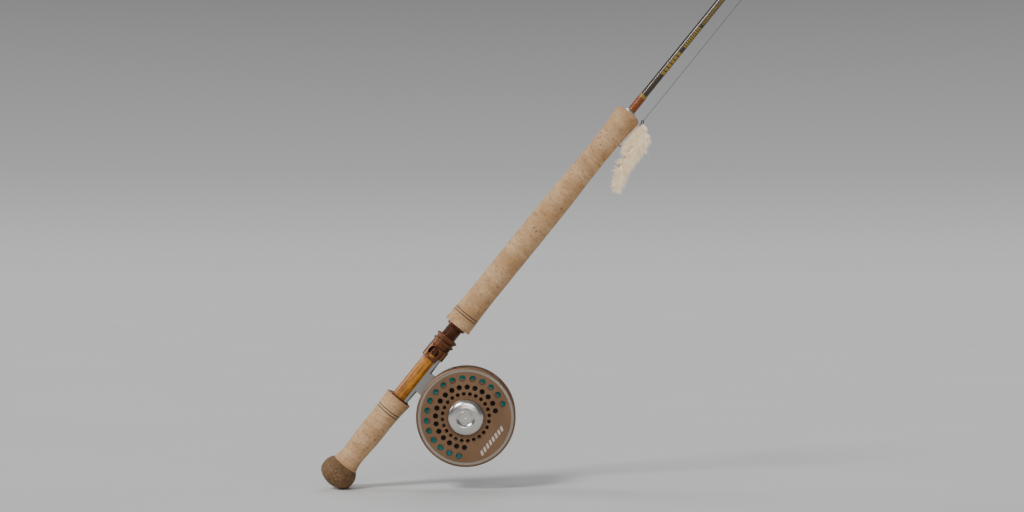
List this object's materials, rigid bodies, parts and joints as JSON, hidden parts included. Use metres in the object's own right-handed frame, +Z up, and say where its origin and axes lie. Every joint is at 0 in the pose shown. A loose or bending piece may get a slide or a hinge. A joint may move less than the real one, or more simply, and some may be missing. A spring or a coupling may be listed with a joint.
{
  "type": "fishing rod and reel",
  "caption": "Two-handed fly rod with cork grips, wood reel seat and snake guides, fitted with a large-arbor disc-drag fly reel and a fur-strip fly.",
  "frame": {"origin": "the point of the butt knob that rests on the ground, the rod leaning 39 degrees from upright", "axes": "+Z up, +X the way the rod leans, +Y along the reel's axis away from its drag-knob side"},
  "size_m": [2.03, 0.0705, 2.4938],
  "materials": {
    "rubber_cork": "speckled rubberised cork, matte",
    "cork": "sanded cork, matte",
    "accent": "dark composite ring, matte",
    "figured_wood": "figured hardwood, oiled and varnished",
    "bronze": "bronze-brown anodised aluminium, satin",
    "bronze_light": "bead-blasted bronze anodised aluminium, satin",
    "silver": "turned and brushed aluminium",
    "steel": "stainless steel",
    "blank": "olive-brown graphite blank, clear gloss",
    "thread": "copper-brown thread under epoxy, gloss",
    "trim_thread": "gold trim thread under epoxy, gloss",
    "ceramic": "polished ceramic liner",
    "carbon": "carbon friction material",
    "backing": "braided backing",
    "fly_line": "teal coated fly line",
    "mono": "clear monofilament",
    "fur": "cream rabbit fur strip",
    "hook": "bronzed steel wire",
    "handle_resin": "dark composite handle knob, satin"
  },
  "bodies": {
    "root": {"butt_knob": "rubber_cork", "rear_grip": "cork", "rear_accent_rings": "accent", "rear_cork_spacer": "cork", "rear_grip_end": "cork", "rear_hood": "bronze", "seat_insert": "figured_wood", "seat_barrel": "bronze", "seat_collar": "bronze", "fore_grip_base": "cork", "fore_accent_rings": "accent", "fore_cork_spacer": "cork", "fore_grip": "cork", "winding_check": "silver", "butt_wrap": "thread", "butt_wrap_trim": "trim_thread", "blank_1": "blank", "thread_wraps_1": "thread", "stripping_guide": "steel", "stripping_guide_liner": "ceramic", "reel_frame": "bronze_light", "reel_foot": "silver", "foot_screws": "steel", "spindle": "steel", "drag_housing": "bronze_light", "brake_discs": "steel", "pressure_plate": "steel", "drag_spring": "steel", "drag_pins": "steel", "leader": "mono", "leader_knot": "mono", "fly_hook": "hook", "fly_fur": "fur"},
    "rod_piece_2": {"blank_2": "blank", "thread_wraps_2": "thread", "snake_guides_2": "steel"},
    "rod_piece_3": {"blank_3": "blank", "thread_wraps_3": "thread", "snake_guides_3": "steel"},
    "rod_piece_4": {"blank_4": "blank", "thread_wraps_4": "thread", "snake_guides_4": "steel", "tip_top": "steel"},
    "hood": {"sliding_hood": "bronze"},
    "lower_ring": {"lock_ring_lower": "bronze"},
    "upper_ring": {"lock_ring_upper": "bronze"},
    "drag_hub": {"drag_hub": "steel", "friction_discs": "carbon", "spool_bearings": "steel", "roller_clutch": "steel"},
    "spool": {"spool": "bronze_light", "spool_cap": "silver", "latch_clip": "steel", "crank_pin": "steel", "counterweight": "silver", "backing": "backing", "fly_line": "fly_line"},
    "button": {"release_button": "silver"},
    "handle": {"handle_knob": "handle_resin"},
    "drag_knob": {"drag_knob": "silver"}
  },
  "joints": [
    {"name": "ferrule_1_pull", "type": "slide", "parent": "root", "child": "rod_piece_2", "axis": [0.6293, 0, 0.7771], "range_m": [0, 0.07]},
    {"name": "ferrule_2_pull", "type": "slide", "parent": "rod_piece_2", "child": "rod_piece_3", "axis": [0.6293, 0, 0.7771], "range_m": [0, 0.07]},
    {"name": "ferrule_3_pull", "type": "slide", "parent": "rod_piece_3", "child": "rod_piece_4", "axis": [0.6293, 0, 0.7771], "range_m": [0, 0.07]},
    {"name": "hood_slide", "type": "slide", "parent": "root", "child": "hood", "axis": [0.6293, 0, 0.7771], "range_m": [0, 0.0108]},
    {"name": "lock_ring_lower_turn", "type": "hinge", "parent": "hood", "child": "lower_ring", "pos_m": [0.09833, 0, 0.14442], "axis": [0.6293, 0, 0.7771], "range_deg": [0, 2592]},
    {"name": "lock_ring_upper_turn", "type": "hinge", "parent": "hood", "child": "upper_ring", "pos_m": [0.10274, 0, 0.14986], "axis": [0.6293, 0, 0.7771], "range_deg": [0, 2592]},
    {"name": "spool_spin", "type": "hinge", "parent": "root", "child": "drag_hub", "pos_m": [0.12233, 0, 0.073], "axis": [0, 1, 0], "continuous": true},
    {"name": "spool_pull_off", "type": "slide", "parent": "drag_hub", "child": "spool", "axis": [0, 1, 0], "range_m": [0, 0.045]},
    {"name": "release_button_press", "type": "slide", "parent": "spool", "child": "button", "axis": [0, -1, 0], "range_m": [0, 0.0015], "stiffness_N_per_m": 300, "springref_m": -0.001},
    {"name": "handle_knob_spin", "type": "hinge", "parent": "spool", "child": "handle", "pos_m": [0.12233, 0.03, 0.035], "axis": [0, 1, 0], "continuous": true},
    {"name": "drag_knob_turn", "type": "hinge", "parent": "root", "child": "drag_knob", "pos_m": [0.12233, -0.02, 0.073], "axis": [0, -1, 0], "range_deg": [0, 330]}
  ],
  "couplings": [
    {"joint": "hood_slide", "follows": "lock_ring_lower_turn", "m_per_rad": 0.00023873},
    {"joint": "lock_ring_upper_turn", "follows": "lock_ring_lower_turn", "ratio": 1}
  ]
}
